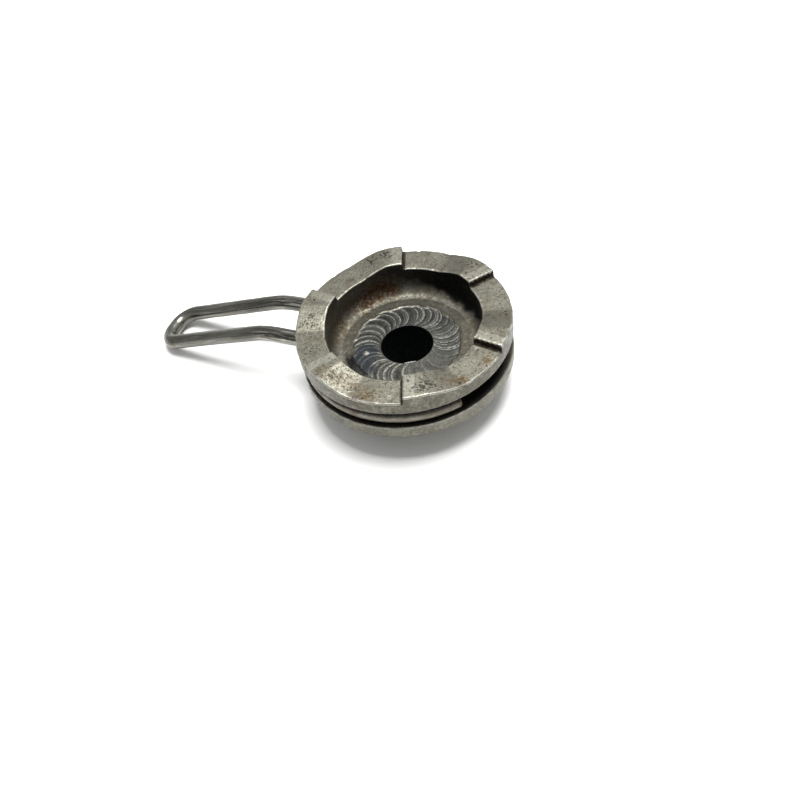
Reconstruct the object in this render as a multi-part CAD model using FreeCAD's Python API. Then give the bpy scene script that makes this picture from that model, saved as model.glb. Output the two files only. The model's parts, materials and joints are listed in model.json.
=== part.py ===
import FreeCAD, Part
import math
import os

# Ratchet dog with a wire drag clip, in millimetres, +Z up along the bore.
# The origin is on the bore's axis at the hub's foot, and the clip's tail lies along -X.
# The dog is one machined piece: a bored hub, a flange, a clip groove and a cupped ring whose
# face carries six one-way ramp teeth. The clip is one bent wire that rides in the groove.

# Hub, flange and bore
BORE_RADIUS = 6.0
BORE_CHAMFER = 0.2
HUB_RADIUS = 11.0
HUB_HEIGHT = 8.4
HUB_FOOT_CHAMFER = 0.5
HUB_FILLET = 0.8
FLANGE_INSET = 0.1
FLANGE_THICKNESS = 3.1
RIM_CHAMFER = 0.3

# Clip groove
GROOVE_DEPTH = 4.55
GROOVE_WIDTH = 4.8
GROOVE_FILLET = 0.5

# Toothed ring and its cup
RING_RADIUS = 25.0
RING_WALL_HEIGHT = 3.4
CUP_WALL = 6.95
CUP_DEPTH = 9.2
CUP_CORNER_RADIUS = 2.9
FLOOR_LEDGE = 1.95
FLOOR_STEP = 0.15

# Ramp teeth
TOOTH_COUNT = 6
TOOTH_HEIGHT = 1.7
TOOTH_LAND = 4.7
RAMP_LENGTH = 7.1
TOOTH_ROOT_FILLET = 0.4
FIRST_TOOTH_ANGLE = 50.7

# Wire clip
WIRE_RADIUS = 1.9
CLIP_CLEARANCE = 0.2
CLIP_END_ANGLE = 39.3
TAIL_PITCH = 11.15
TAIL_LENGTH = 68.6
TAIL_CORNER_RADIUS = 4.8
TAIL_ROOT_BEND_RADIUS = 3.0
TAIL_DIP_START = 10.1
TAIL_DIP_BEND_RADIUS = 20.0
TAIL_FLOOR_GAP = 0.25

# Cutting allowances
OVERCUT = 2.0
RAMP_SECTIONS = 5
RAMP_LEAD_ANGLE = 2.0

# Levels and radii that follow from the sizes above
FLANGE_TOP = HUB_HEIGHT + FLANGE_THICKNESS
GROOVE_TOP = FLANGE_TOP + GROOVE_WIDTH
TOOTH_ROOT_LEVEL = GROOVE_TOP + RING_WALL_HEIGHT
CREST_LEVEL = TOOTH_ROOT_LEVEL + TOOTH_HEIGHT
FLOOR_LEVEL = CREST_LEVEL - CUP_DEPTH
LEDGE_LEVEL = FLOOR_LEVEL + FLOOR_STEP
FLANGE_RADIUS = RING_RADIUS - FLANGE_INSET
GROOVE_FLOOR_RADIUS = RING_RADIUS - GROOVE_DEPTH
CUP_RADIUS = RING_RADIUS - CUP_WALL
CUP_CORNER_START = CUP_RADIUS - CUP_CORNER_RADIUS
FLOOR_RADIUS = CUP_CORNER_START - FLOOR_LEDGE
WIRE_LEVEL = FLANGE_TOP + CLIP_CLEARANCE + WIRE_RADIUS
CLIP_RADIUS = GROOVE_FLOOR_RADIUS + CLIP_CLEARANCE + WIRE_RADIUS
TAIL_END_LEVEL = WIRE_RADIUS + TAIL_FLOOR_GAP
TAIL_DIP_AT = FLANGE_RADIUS + TAIL_DIP_START
TOOTH_PITCH = 360.0 / TOOTH_COUNT
RING_MIDDLE = RING_RADIUS - CUP_WALL / 2
LAND_ANGLE = math.degrees(TOOTH_LAND / RING_MIDDLE)
RAMP_ANGLE = math.degrees(RAMP_LENGTH / RING_MIDDLE)


def vec(x, y, z):
    return FreeCAD.Vector(x, y, z)


def polar(radius, angle_deg, z):
    angle = math.radians(angle_deg)
    return vec(radius * math.cos(angle), radius * math.sin(angle), z)


def line(start, end):
    return Part.LineSegment(start, end).toShape()


def arc(start, middle, end):
    return Part.Arc(start, middle, end).toShape()


def quarter_middle(centre, radius, angle_deg):
    """Return the point of an XZ arc at the given angle, for a corner round."""
    angle = math.radians(angle_deg)
    return vec(centre[0] + radius * math.cos(angle), 0, centre[1] + radius * math.sin(angle))


def groove_edges():
    """Return the clip groove's outline, from the flange's top up to the ring's wall."""
    floor = GROOVE_FLOOR_RADIUS
    fillet = GROOVE_FILLET
    lower = (floor + fillet, FLANGE_TOP + fillet)
    upper = (floor + fillet, GROOVE_TOP - fillet)
    foot = vec(floor + fillet, 0, FLANGE_TOP)
    foot_end = vec(floor, 0, FLANGE_TOP + fillet)
    head = vec(floor, 0, GROOVE_TOP - fillet)
    head_end = vec(floor + fillet, 0, GROOVE_TOP)
    return [
        line(vec(FLANGE_RADIUS - RIM_CHAMFER, 0, FLANGE_TOP), foot),
        arc(foot, quarter_middle(lower, fillet, 225), foot_end),
        line(foot_end, head),
        arc(head, quarter_middle(upper, fillet, 135), head_end),
        line(head_end, vec(RING_RADIUS - RIM_CHAMFER, 0, GROOVE_TOP)),
    ]


def outer_edges():
    """Return the outline from the bore's foot round the hub, flange and ring to the crest."""
    hub_corner = (HUB_RADIUS + HUB_FILLET, HUB_HEIGHT - HUB_FILLET)
    hub_top = vec(HUB_RADIUS, 0, HUB_HEIGHT - HUB_FILLET)
    flange_start = vec(HUB_RADIUS + HUB_FILLET, 0, HUB_HEIGHT)
    foot = [
        vec(BORE_RADIUS, 0, 0),
        vec(HUB_RADIUS - HUB_FOOT_CHAMFER, 0, 0),
        vec(HUB_RADIUS, 0, HUB_FOOT_CHAMFER),
        hub_top,
    ]
    rim = [
        flange_start,
        vec(FLANGE_RADIUS - RIM_CHAMFER, 0, HUB_HEIGHT),
        vec(FLANGE_RADIUS, 0, HUB_HEIGHT + RIM_CHAMFER),
        vec(FLANGE_RADIUS, 0, FLANGE_TOP - RIM_CHAMFER),
        vec(FLANGE_RADIUS - RIM_CHAMFER, 0, FLANGE_TOP),
    ]
    ring = [
        vec(RING_RADIUS - RIM_CHAMFER, 0, GROOVE_TOP),
        vec(RING_RADIUS, 0, GROOVE_TOP + RIM_CHAMFER),
        vec(RING_RADIUS, 0, CREST_LEVEL),
    ]
    edges = polyline(foot)
    edges.append(arc(hub_top, quarter_middle(hub_corner, HUB_FILLET, 135), flange_start))
    return edges + polyline(rim) + groove_edges() + polyline(ring)


def cup_edges():
    """Return the outline from the crest down the cup's wall to the bore."""
    corner = (CUP_CORNER_START, LEDGE_LEVEL + CUP_CORNER_RADIUS)
    wall_foot = vec(CUP_RADIUS, 0, LEDGE_LEVEL + CUP_CORNER_RADIUS)
    ledge = vec(CUP_CORNER_START, 0, LEDGE_LEVEL)
    wall = [vec(RING_RADIUS, 0, CREST_LEVEL), vec(CUP_RADIUS, 0, CREST_LEVEL), wall_foot]
    floor = [
        ledge,
        vec(FLOOR_RADIUS, 0, LEDGE_LEVEL),
        vec(FLOOR_RADIUS, 0, FLOOR_LEVEL),
        vec(BORE_RADIUS + BORE_CHAMFER, 0, FLOOR_LEVEL),
        vec(BORE_RADIUS, 0, FLOOR_LEVEL - BORE_CHAMFER),
        vec(BORE_RADIUS, 0, 0),
    ]
    edges = polyline(wall)
    edges.append(arc(wall_foot, quarter_middle(corner, CUP_CORNER_RADIUS, 315), ledge))
    return edges + polyline(floor)


def polyline(points):
    return [line(start, end) for start, end in zip(points, points[1:])]


def blank():
    """Return the turned blank: hub, flange, groove, ring and cup, with a flat ring face."""
    outline = Part.Wire(outer_edges() + cup_edges())
    return Part.Face(outline).revolve(vec(0, 0, 0), vec(0, 0, 1), 360)


def ramp_section(angle_deg, level):
    """Return the cutter's upright rectangle at one angle, with its foot on the ramp."""
    inner = CUP_RADIUS - OVERCUT
    outer = RING_RADIUS + OVERCUT
    top = CREST_LEVEL + OVERCUT
    corners = [
        polar(inner, angle_deg, level),
        polar(outer, angle_deg, level),
        polar(outer, angle_deg, top),
        polar(inner, angle_deg, top),
    ]
    return Part.makePolygon(corners + corners[:1])


def ramp_cutter(land_end):
    """Return what is milled off above one tooth's ramp, which falls with rising angle."""
    slope = TOOTH_HEIGHT / RAMP_ANGLE
    sections = []
    for index in range(RAMP_SECTIONS):
        part_way = index / (RAMP_SECTIONS - 1)
        along = -RAMP_LEAD_ANGLE + (RAMP_ANGLE + RAMP_LEAD_ANGLE) * part_way
        sections.append(ramp_section(land_end + along, CREST_LEVEL - slope * along))
    return Part.makeLoft(sections, True, False)


def root_cutter(ramp_end, next_face):
    """Return what is milled off above the flat root, with a fillet at the next tooth's face."""
    sections = [ramp_section(ramp_end, TOOTH_ROOT_LEVEL), ramp_section(next_face, TOOTH_ROOT_LEVEL)]
    cutter = Part.makeLoft(sections, True, True)
    root_middle = Part.Vertex(polar(RING_MIDDLE, next_face, TOOTH_ROOT_LEVEL))
    root_edges = [edge for edge in cutter.Edges if edge.distToShape(root_middle)[0] < OVERCUT / 100]
    return cutter.makeFillet(TOOTH_ROOT_FILLET, root_edges)


def ratchet_body():
    """Return the dog: the turned blank with its ramps and roots milled in the ring's face.

    Each tooth has an upright face, then with rising angle a land, a ramp and a flat root.
    """
    cutters = []
    for index in range(TOOTH_COUNT):
        face_angle = FIRST_TOOTH_ANGLE + index * TOOTH_PITCH
        ramp_end = face_angle + LAND_ANGLE + RAMP_ANGLE
        cutters.append(ramp_cutter(face_angle + LAND_ANGLE))
        cutters.append(root_cutter(ramp_end, face_angle + TOOTH_PITCH))
    return blank().cut(cutters)


def arm_edges():
    """Return one arm's path in the groove, from its free end to the tail's straight leg."""
    half = TAIL_PITCH / 2
    bend = TAIL_ROOT_BEND_RADIUS
    bend_y = half + bend
    bend_x = -math.sqrt((CLIP_RADIUS + bend) ** 2 - bend_y ** 2)
    root_angle = math.degrees(math.atan2(bend_y, bend_x))
    free_end = polar(CLIP_RADIUS, CLIP_END_ANGLE, WIRE_LEVEL)
    middle = polar(CLIP_RADIUS, (CLIP_END_ANGLE + root_angle) / 2, WIRE_LEVEL)
    leave = polar(CLIP_RADIUS, root_angle, WIRE_LEVEL)
    centre = vec(bend_x, bend_y, WIRE_LEVEL)
    leg_start = centre + vec(0, -bend, 0)
    turn = (leave - centre) + (leg_start - centre)
    bend_middle = centre + turn.normalize() * bend
    return [arc(free_end, middle, leave), arc(leave, bend_middle, leg_start)], leg_start


def leg_edges(leg_start):
    """Return one tail leg's path, from the groove over the flange and down to its corner."""
    half = TAIL_PITCH / 2
    slope = math.atan2(WIRE_LEVEL - TAIL_END_LEVEL, TAIL_LENGTH - TAIL_DIP_AT)
    down = vec(-math.cos(slope), 0, -math.sin(slope))
    dip = vec(-TAIL_DIP_AT, half, WIRE_LEVEL)
    setback = TAIL_DIP_BEND_RADIUS * math.tan(slope / 2)
    dip_start = dip + vec(setback, 0, 0)
    dip_end = dip + down * setback
    sag = TAIL_DIP_BEND_RADIUS * (1 - math.cos(slope / 2))
    inward = vec(-math.sin(slope / 2), 0, -math.cos(slope / 2))
    chord_middle = (dip_start + dip_end) * 0.5
    dip_middle = chord_middle - inward * sag
    end_corner = vec(-TAIL_LENGTH, half, TAIL_END_LEVEL)
    corner = TAIL_CORNER_RADIUS
    corner_start = end_corner - down * corner
    corner_end = end_corner + vec(0, -corner, 0)
    corner_centre = corner_start + vec(0, -corner, 0)
    outward = (end_corner - corner_centre).normalize()
    corner_middle = corner_centre + outward * corner
    edges = [
        line(leg_start, dip_start),
        arc(dip_start, dip_middle, dip_end),
        line(dip_end, corner_start),
        arc(corner_start, corner_middle, corner_end),
    ]
    return edges, corner_end


def mirrored(edge):
    return edge.mirror(vec(0, 0, 0), vec(0, 1, 0))


def friction_clip():
    """Return the clip: one wire from a free end, round the tail's loop, to the other end."""
    arm, leg_start = arm_edges()
    leg, corner_end = leg_edges(leg_start)
    half_path = arm + leg
    end_bar = line(corner_end, vec(corner_end.x, -corner_end.y, corner_end.z))
    other_half = [mirrored(edge) for edge in reversed(half_path)]
    path = Part.Wire(half_path + [end_bar] + other_half)
    free_end = polar(CLIP_RADIUS, CLIP_END_ANGLE, WIRE_LEVEL)
    tangent = polar(1.0, CLIP_END_ANGLE + 90, 0)
    section = Part.Wire(Part.Circle(free_end, tangent, WIRE_RADIUS).toShape())
    return path.makePipeShell([section], True, True)


def main():
    os.makedirs("parts", exist_ok=True)
    ratchet_body().exportStep("parts/ratchet_body.step")
    friction_clip().exportStep("parts/friction_clip.step")


main()
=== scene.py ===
"""Looks for a steel ratchet dog and the bent wire drag clip that rides in its groove."""

import json
import math

import bpy
import numpy as np
from bpy.props import FloatProperty, FloatVectorProperty, IntProperty, PointerProperty
from mathutils import Matrix, Vector


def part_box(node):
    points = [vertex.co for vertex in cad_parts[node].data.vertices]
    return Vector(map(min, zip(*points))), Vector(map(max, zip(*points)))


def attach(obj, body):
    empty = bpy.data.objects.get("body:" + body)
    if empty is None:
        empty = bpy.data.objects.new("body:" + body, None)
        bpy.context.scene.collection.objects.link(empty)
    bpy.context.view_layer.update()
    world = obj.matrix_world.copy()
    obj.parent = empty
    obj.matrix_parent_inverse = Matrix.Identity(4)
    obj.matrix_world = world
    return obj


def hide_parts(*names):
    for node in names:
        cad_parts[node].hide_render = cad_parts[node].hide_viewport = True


bl_info = {
    "name": "Ratchet Dog and Drag Clip",
    "version": (1, 0, 0),
    "blender": (4, 5, 0),
    "location": "View3D > Sidebar > Ratchet Dog",
    "description": "Builds a worn steel ratchet dog, its wire drag clip and a plain studio",
    "category": "Object",
}

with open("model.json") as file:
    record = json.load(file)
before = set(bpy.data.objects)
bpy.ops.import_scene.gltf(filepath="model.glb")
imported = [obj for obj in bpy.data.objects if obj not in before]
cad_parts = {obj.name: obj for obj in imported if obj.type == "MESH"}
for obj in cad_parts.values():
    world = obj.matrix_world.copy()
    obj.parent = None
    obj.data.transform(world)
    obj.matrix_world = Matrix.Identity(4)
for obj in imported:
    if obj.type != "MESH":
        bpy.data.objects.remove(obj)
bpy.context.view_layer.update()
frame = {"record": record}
_, DOG_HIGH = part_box("ratchet_body")
BORE_MOUNT = next(m for m in frame["record"]["mounts"] if m["name"] == "bore")

MM = 0.001
BORE_RADIUS = BORE_MOUNT["dims"]["r_mm"] * MM
TOOTH_COUNT = 6
PITCH = 2 * math.pi / TOOTH_COUNT

# Angle that each tooth's upright face takes up
UPRIGHT = math.radians(0.08)

# Mesh columns spread over one tooth, and the extra ones close to its upright face
COLUMNS_PER_TOOTH = 84
EXTRA_COLUMNS_DEG = (0.14, 0.3, 0.5, 58.6, 58.95, 59.55, 59.8)

# Radians to the metre of the ripple in the wear of the tooth edges
WEAR_RIPPLE = 5200

# Where the end mill first went into the cup's floor
PLUNGE_ANGLE = math.radians(-149.3)
PLUNGE_RADIUS = 9.75 * MM

# Sides of the dog that its painted shade, oil, darker patches and wear lie on, as angles round
# the axis
RIM_SHADE_SIDE = math.radians(59.5)
RIM_SHADE_SPREAD = math.radians(58)
OILY_SIDE = math.radians(101.5)
DARK_BOWL_SIDE = math.radians(-30)
PATCH_SIDE = math.radians(-132.5)
RUBBED_SIDE = math.radians(-36.5)
DULL_SIDE = math.radians(16.5)

TABLE_HALF = 1.2

# The dog's surface regions, in the order of its material slots
FOOT, FLANGE, SHELF, GROOVE, WALL, FACE, CUP, FLOOR, BORE = range(9)


# ---------------------------------------------------------------- sizes and colours

class DogSizes(bpy.types.PropertyGroup):
    """Sizes of the dog that its section and teeth are drawn from."""

    hub_radius: FloatProperty(
        name="Hub radius", description="Outside of the hub under the flange",
        default=11.0 * MM, unit="LENGTH")
    hub_height: FloatProperty(
        name="Hub height", description="From the hub's foot to the flange's underside",
        default=8.4 * MM, unit="LENGTH")
    flange_radius: FloatProperty(
        name="Flange radius", description="Outside of the flange under the groove",
        default=24.9 * MM, unit="LENGTH")
    flange_thickness: FloatProperty(
        name="Flange thickness", description="Height of the flange's rim",
        default=3.1 * MM, unit="LENGTH")
    groove_radius: FloatProperty(
        name="Groove floor radius", description="Floor of the clip's groove",
        default=20.45 * MM, unit="LENGTH")
    groove_width: FloatProperty(
        name="Groove width", description="Between the flange and the toothed ring",
        default=4.8 * MM, unit="LENGTH")
    cup_wall: FloatProperty(
        name="Ring width", description="From the ring's outside to the cup's wall",
        default=6.95 * MM, unit="LENGTH")
    cup_depth: FloatProperty(
        name="Cup depth", description="From the crests down to the milled floor",
        default=9.2 * MM, unit="LENGTH")
    cup_round: FloatProperty(
        name="Cup corner radius", description="Round between the cup's wall and its floor",
        default=2.9 * MM, unit="LENGTH")
    floor_radius: FloatProperty(
        name="Milled floor radius", description="Outside of the milled recess in the cup",
        default=13.2 * MM, unit="LENGTH")
    floor_step: FloatProperty(
        name="Milled floor step", description="Depth of the milled recess",
        default=0.15 * MM, unit="LENGTH")
    tooth_height: FloatProperty(
        name="Tooth height", description="Rise of one ramp",
        default=1.7 * MM, unit="LENGTH")
    tooth_land: FloatProperty(
        name="Tooth land", description="Flat length at the top of a tooth",
        default=4.7 * MM, unit="LENGTH")
    ramp_length: FloatProperty(
        name="Ramp length", description="Length of the ramp from the land to the flat root",
        default=7.1 * MM, unit="LENGTH")
    tooth_fillet: FloatProperty(
        name="Tooth root fillet", description="Round at the foot of a tooth's upright face",
        default=0.4 * MM, unit="LENGTH")
    first_tooth: FloatProperty(
        name="First tooth angle", description="Where the first upright face stands",
        default=math.radians(50.7), unit="ROTATION")
    edge_round: FloatProperty(
        name="Edge round", description="Wear on the ring's edges",
        default=0.34 * MM, unit="LENGTH")
    mill_radius: FloatProperty(
        name="Mill radius", description="Radius of the end mill that cut the cup's floor",
        default=3.7 * MM, unit="LENGTH")
    mill_steps: IntProperty(
        name="Mill steps", description="Arcs that the end mill left round the floor",
        default=31)
    mill_depth: FloatProperty(
        name="Mill mark depth", description="Height of one mill mark",
        default=0.05 * MM, unit="LENGTH")


class ClipSizes(bpy.types.PropertyGroup):
    """Sizes of the bent wire clip."""

    wire_radius: FloatProperty(
        name="Wire radius", description="Half the wire's diameter",
        default=1.9 * MM, unit="LENGTH")
    arm_radius: FloatProperty(
        name="Arm radius", description="Centreline of the arms in the groove",
        default=22.55 * MM, unit="LENGTH")
    end_angle: FloatProperty(
        name="End angle", description="From +X to each free end",
        default=math.radians(39.3), unit="ROTATION")
    level: FloatProperty(
        name="Arm level", description="Height of the arms' centreline",
        default=13.6 * MM, unit="LENGTH")
    tail_pitch: FloatProperty(
        name="Tail pitch", description="Between the centrelines of the tail's two legs",
        default=11.15 * MM, unit="LENGTH")
    tail_length: FloatProperty(
        name="Tail length", description="From the axis to the centreline of the tail's end",
        default=68.6 * MM, unit="LENGTH")
    tail_corner: FloatProperty(
        name="Tail corner radius", description="Centreline bend at the tail's end",
        default=4.8 * MM, unit="LENGTH")
    root_bend: FloatProperty(
        name="Root bend radius", description="Centreline bend where an arm becomes a leg",
        default=3.0 * MM, unit="LENGTH")
    dip_at: FloatProperty(
        name="Dip place", description="Distance from the axis at which the legs turn down",
        default=35.0 * MM, unit="LENGTH")
    dip_bend: FloatProperty(
        name="Dip bend radius", description="Centreline bend where the legs turn down",
        default=20.0 * MM, unit="LENGTH")
    end_level: FloatProperty(
        name="Tail end level", description="Height of the tail's end above the table",
        default=2.15 * MM, unit="LENGTH")


class Finishes(bpy.types.PropertyGroup):
    """Colours of the steel, its stains and the table."""

    steel: FloatVectorProperty(
        name="Worn steel", description="Bare steel on the ring and the flange",
        subtype="COLOR", default=(0.169, 0.164, 0.131), min=0, max=1)
    dull_steel: FloatVectorProperty(
        name="Dull steel", description="Darker patches of the same steel",
        subtype="COLOR", default=(0.083, 0.079, 0.063), min=0, max=1)
    bright_steel: FloatVectorProperty(
        name="Rubbed steel", description="Edges rubbed bright",
        subtype="COLOR", default=(0.461, 0.457, 0.410), min=0, max=1)
    rust: FloatVectorProperty(
        name="Rust", description="Light brown rust stains",
        subtype="COLOR", default=(0.076, 0.036, 0.016), min=0, max=1)
    stain: FloatVectorProperty(
        name="Ochre stain", description="Thin yellow-brown rust on the ring's face",
        subtype="COLOR", default=(0.126, 0.085, 0.040), min=0, max=1)
    # Black for old oil, and also for painted shade: under the cup's back rim, in the groove, on
    # the flange's top under the wire, at the ring wall's foot, at the teeth's feet and on the
    # clip's arms.
    oil_and_shade: FloatVectorProperty(
        name="Old oil", description="Black oil and dirt in the corners",
        subtype="COLOR", default=(0.006, 0.006, 0.006), min=0, max=1)
    wire: FloatVectorProperty(
        name="Clip wire", description="Dark drawn wire",
        subtype="COLOR", default=(0.20, 0.198, 0.172), min=0, max=1)
    table: FloatVectorProperty(
        name="Table", description="Pale plain table",
        subtype="COLOR", default=(0.87, 0.87, 0.86), min=0, max=1)


class StageSettings(bpy.types.PropertyGroup):
    """Camera and light."""

    camera_place: FloatVectorProperty(
        name="Camera place", description="Where the camera stands",
        subtype="TRANSLATION", default=(65.95 * MM, -125.67 * MM, 152.85 * MM))
    camera_target: FloatVectorProperty(
        name="Camera target", description="Point in the middle of the view",
        subtype="TRANSLATION", default=(5.12 * MM, -17.71 * MM, 13.5 * MM))
    camera_roll: FloatProperty(
        name="Camera roll", description="Turn about the line of sight",
        default=math.radians(-11.52), unit="ROTATION")
    lens: FloatProperty(
        name="Lens", description="Focal length in millimetres on a 36 mm sensor",
        default=38.25)
    sky: FloatProperty(
        name="Sky light", description="Strength of the even white surroundings",
        default=0.6)
    lamp_power: FloatProperty(
        name="Lamp power", description="Power of the large soft lamp",
        default=6.0, unit="POWER")
    lamp_size: FloatProperty(
        name="Lamp size", description="Diameter of the large soft lamp",
        default=0.35, unit="LENGTH")
    lamp_place: FloatVectorProperty(
        name="Lamp place", description="Where the lamp hangs",
        subtype="TRANSLATION", default=(0.04, 0.08, 0.55))


# ---------------------------------------------------------------- small tools

def smooth(value, low, high):
    """Return 0 below low, 1 above high and a smooth rise between them."""
    t = np.clip((value - low) / (high - low), 0, 1)
    return t * t * (3 - 2 * t)


def ripple(points, size, seed, waves=18):
    """Return smooth random relief from -1 to 1 whose lumps are about size across."""
    rng = np.random.default_rng(seed)
    directions = rng.normal(size=(waves, 3))
    directions /= np.linalg.norm(directions, axis=1)[:, None]
    lengths = size * rng.uniform(1.3, 3.0, waves)
    phases = rng.uniform(0, 2 * math.pi, waves)
    total = np.zeros(points.shape[:-1])
    for direction, length, phase in zip(directions, lengths, phases):
        total += np.sin(points @ direction * (2 * math.pi / length) + phase)
    return total / math.sqrt(waves / 2) / 2


def angle_gap(angle, centre):
    """Return the signed difference of two angles, from -pi to pi."""
    return (angle - centre + math.pi) % (2 * math.pi) - math.pi


def link(piece):
    bpy.context.scene.collection.objects.link(piece)
    return piece


def grid_mesh(name, points, closed_rows):
    """Return a mesh over a grid of points that closes on itself along its columns.

    points is (rows, columns, 3). The rows also close when closed_rows is true.
    """
    rows, columns = points.shape[:2]
    index = np.arange(rows * columns).reshape(rows, columns)
    below = np.roll(index, -1, axis=0)
    if not closed_rows:
        index = index[:-1]
        below = below[:-1]
    quads = np.stack([index, np.roll(index, -1, 1), np.roll(below, -1, 1), below], axis=-1)
    mesh = bpy.data.meshes.new(name)
    mesh.from_pydata(points.reshape(-1, 3).tolist(), [], quads.reshape(-1, 4).tolist())
    mesh.shade_smooth()
    return mesh


def add_attribute(mesh, name, values):
    """Store one number a vertex, for the materials to read."""
    layer = mesh.attributes.new(name, "FLOAT", "POINT")
    layer.data.foreach_set("value", np.asarray(values, np.float32).ravel())


def grid_normals(points):
    """Return unit normals of a grid that closes both ways."""
    along = np.roll(points, -1, axis=1) - np.roll(points, 1, axis=1)
    across = np.roll(points, -1, axis=0) - np.roll(points, 1, axis=0)
    normals = np.cross(along, across)
    lengths = np.linalg.norm(normals, axis=-1, keepdims=True)
    return normals / np.maximum(lengths, 1e-12)


# ---------------------------------------------------------------- the dog's section

def run(start, end, count, region, hug=0.04):
    """Return section rows on a straight run, with a row close to each end unless hug is 0.

    A row is (radius, level, lift, region). Lift is how much of the ring face's rise and
    fall the row follows.
    """
    shares = [i / count for i in range(count)]
    if hug:
        shares = sorted(shares + [hug, 1 - hug])
    rows = []
    for share in shares:
        row = [a + (b - a) * share for a, b in zip(start, end)]
        rows.append((*row, region))
    return rows


def bend(centre, radius, start_deg, end_deg, count, lift, region):
    """Return section rows on a round, without its last point."""
    rows = []
    for i in range(count):
        angle = math.radians(start_deg + (end_deg - start_deg) * i / count)
        place = (centre[0] + radius * math.cos(angle), centre[1] + radius * math.sin(angle))
        rows.append((*place, lift, region))
    return rows


def dog_section(s):
    """Return the dog's closed section: hub, flange, groove, ring, cup, floor and bore."""
    bore = BORE_RADIUS
    small = 0.3 * MM
    ring = DOG_HIGH.x
    crest = DOG_HIGH.z
    flange_top = s.hub_height + s.flange_thickness
    groove_top = flange_top + s.groove_width
    floor = crest - s.cup_depth
    ledge = floor + s.floor_step
    cup = ring - s.cup_wall
    edge = s.edge_round
    round_foot = ledge + s.cup_round
    groove_fillet = 0.5 * MM
    hub_fillet = 0.8 * MM
    hub_foot = 0.5 * MM
    chamfer = 0.2 * MM
    rows = []
    rows += run((bore, 0, 0), (s.hub_radius - hub_foot, 0, 0), 1, FOOT)
    rows += bend((s.hub_radius - hub_foot, hub_foot), hub_foot, -90, 0, 3, 0, FOOT)
    rows += run((s.hub_radius, hub_foot, 0), (s.hub_radius, s.hub_height - hub_fillet, 0),
                1, FOOT)
    rows += bend((s.hub_radius + hub_fillet, s.hub_height - hub_fillet), hub_fillet,
                 180, 90, 3, 0, FOOT)
    rows += run((s.hub_radius + hub_fillet, s.hub_height, 0),
                (s.flange_radius - small, s.hub_height, 0), 2, FOOT)
    rows += bend((s.flange_radius - small, s.hub_height + small), small, -90, 0, 3, 0, FLANGE)
    rows += run((s.flange_radius, s.hub_height + small, 0),
                (s.flange_radius, flange_top - small, 0), 4, FLANGE, 0.08)
    rows += bend((s.flange_radius - small, flange_top - small), small, 0, 90, 3, 0, FLANGE)
    rows += run((s.flange_radius - small, flange_top, 0),
                (s.groove_radius + groove_fillet, flange_top, 0), 4, SHELF)
    rows += bend((s.groove_radius + groove_fillet, flange_top + groove_fillet),
                 groove_fillet, 270, 180, 2, 0, GROOVE)
    rows += run((s.groove_radius, flange_top + groove_fillet, 0),
                (s.groove_radius, groove_top - groove_fillet, 0), 1, GROOVE)
    rows += bend((s.groove_radius + groove_fillet, groove_top - groove_fillet),
                 groove_fillet, 180, 90, 2, 0, GROOVE)
    rows += run((s.groove_radius + groove_fillet, groove_top, 0),
                (ring - small, groove_top, 0), 2, GROOVE)
    rows += bend((ring - small, groove_top + small), small, -90, 0, 3, 0, WALL)
    rows += run((ring, groove_top + small, 0), (ring, crest - edge, 1), 8, WALL)
    rows += bend((ring - edge, crest - edge), edge, 0, 90, 3, 1, FACE)
    rows += run((ring - edge, crest, 1), (cup + edge, crest, 1), 20, FACE, 0.02)
    rows += bend((cup + edge, crest - edge), edge, 90, 180, 3, 1, FACE)
    rows += run((cup, crest - edge, 1), (cup, round_foot, 0), 9, CUP)
    rows += bend((cup - s.cup_round, round_foot), s.cup_round, 0, -90, 10, 0, CUP)
    rows += run((cup - s.cup_round, ledge, 0), (s.floor_radius, ledge, 0), 3, CUP)
    rows += run((s.floor_radius, floor, 0), (bore + chamfer, floor, 0), 48, FLOOR, 0.01)
    rows += run((bore + chamfer, floor, 0), (bore, floor - chamfer, 0), 1, BORE, 0)
    rows += run((bore, floor - chamfer, 0), (bore, 0, 0), 2, BORE)
    return rows


def tooth_angles(s):
    """Return the columns' angles: an even spread, with more down each upright face."""
    local = [i / COLUMNS_PER_TOOTH * PITCH for i in range(COLUMNS_PER_TOOTH)]
    local += [math.radians(degrees) for degrees in EXTRA_COLUMNS_DEG]
    local += [PITCH - UPRIGHT * share for share in (1.0, 0.8, 0.6, 0.4, 0.2)]
    local = np.array(sorted(local))
    turns = [s.first_tooth + PITCH * k + local for k in range(TOOTH_COUNT)]
    return np.concatenate(turns)


def up_the_face(s, angle):
    """Return the share of an upright face climbed at an angle, or 0 away from the faces."""
    local = (angle - s.first_tooth) % PITCH
    return np.clip((local - PITCH + UPRIGHT) / UPRIGHT, 0, 1)


def face_drop(s, radius, angle):
    """Return how far the ring's face lies below the crests at a place on it.

    From each upright face, with rising angle, come a land, a ramp and a flat root.
    """
    local = (angle - s.first_tooth) % PITCH
    middle = DOG_HIGH.x - s.cup_wall / 2
    share = (local - s.tooth_land / middle) / (s.ramp_length / middle)
    drop = s.tooth_height * soft_ramp(share, 0.06)
    fillet = s.tooth_fillet
    to_face = radius * np.sin(np.minimum(np.maximum(PITCH - UPRIGHT - local, 0), math.pi / 2))
    inside = np.clip(fillet - to_face, 0, fillet)
    drop = drop - (fillet - np.sqrt(fillet ** 2 - inside ** 2))
    worn = s.edge_round * (1 + 0.5 * np.sin(radius * WEAR_RIPPLE + angle * 3))
    past_edge = radius * np.sin(np.minimum(local, math.pi / 2))
    inside = np.clip(worn - past_edge, 0, worn)
    drop = drop + worn - np.sqrt(worn ** 2 - inside ** 2)
    climbed = up_the_face(s, angle)
    return drop * (1 - climbed) + worn * climbed


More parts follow.
